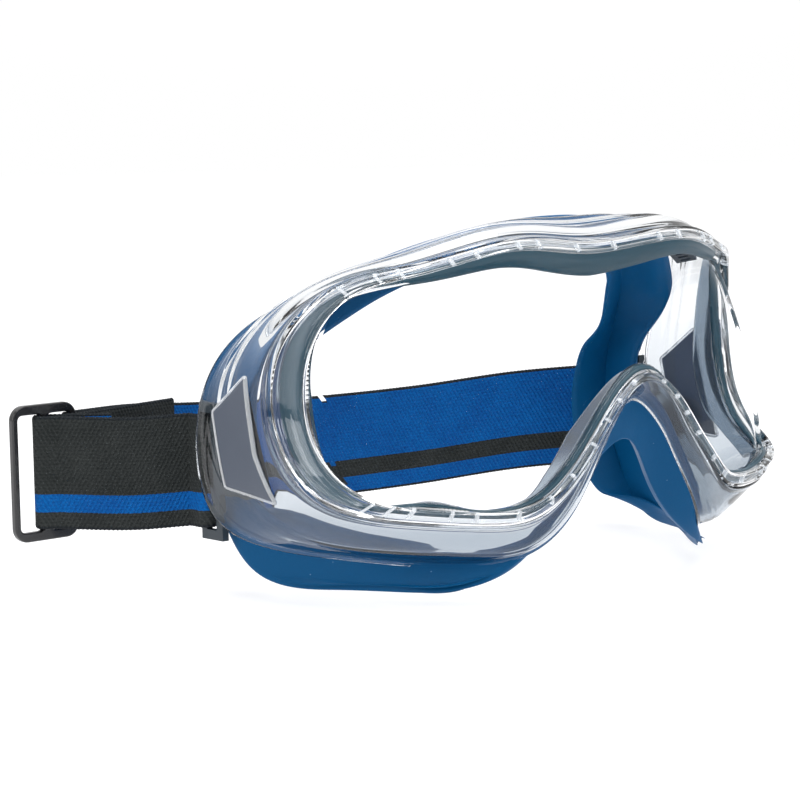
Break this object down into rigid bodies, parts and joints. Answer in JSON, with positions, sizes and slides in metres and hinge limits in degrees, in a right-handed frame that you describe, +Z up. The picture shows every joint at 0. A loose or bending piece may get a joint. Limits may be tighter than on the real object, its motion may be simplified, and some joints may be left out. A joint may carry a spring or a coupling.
{
  "type": "safety goggles",
  "caption": "Clear wraparound safety goggles with a soft blue face seal, ribbed window rim, temple panels and an elastic head strap that swings on clips and adjusts at a slider.",
  "frame": {"origin": "centre of the opening that the face fills, on the goggles' plane of symmetry", "axes": "+X to the wearer's left, +Y towards the back of the head, +Z up"},
  "size_m": [0.2093, 0.1284, 0.0955],
  "materials": {
    "shell": "clear polished polycarbonate",
    "lens": "clear optical polycarbonate",
    "rim": "clear moulded rim with cross ribs",
    "seal": "soft matte blue elastomer",
    "gasket": "thin grey seal",
    "panel": "satin slate grey",
    "clip": "satin black",
    "pin": "satin black",
    "vent": "dark slotted insert",
    "webbing": "charcoal elastic webbing with a blue stripe",
    "slider": "glossy black"
  },
  "bodies": {
    "goggle_frame": {"visor_shell": "shell", "lens": "lens", "vent_rim": "rim", "lens_gasket": "gasket", "face_seal": "seal", "right_temple_panel": "panel", "left_temple_panel": "panel", "right_top_vent": "vent", "left_top_vent": "vent", "right_clip_pin": "pin", "left_clip_pin": "pin"},
    "head_strap": {"right_strap_clip": "clip", "left_strap_clip": "clip", "right_strap_loop": "webbing", "left_strap_loop": "webbing", "right_strap": "webbing", "left_strap": "webbing"},
    "slider": {"strap_slider": "slider", "strap_tail": "webbing", "strap_sewn_end": "webbing"}
  },
  "joints": [
    {"name": "strap_swing", "type": "hinge", "parent": "goggle_frame", "child": "head_strap", "pos_m": [0, 0.002, -0.013], "axis": [1, 0, 0], "range_deg": [-12, 12]},
    {"name": "slider_slide", "type": "slide", "parent": "head_strap", "child": "slider", "axis": [0.7768, -0.6298, 0], "range_m": [0, 0.012], "deforming": ["right_strap", "left_strap"]}
  ]
}
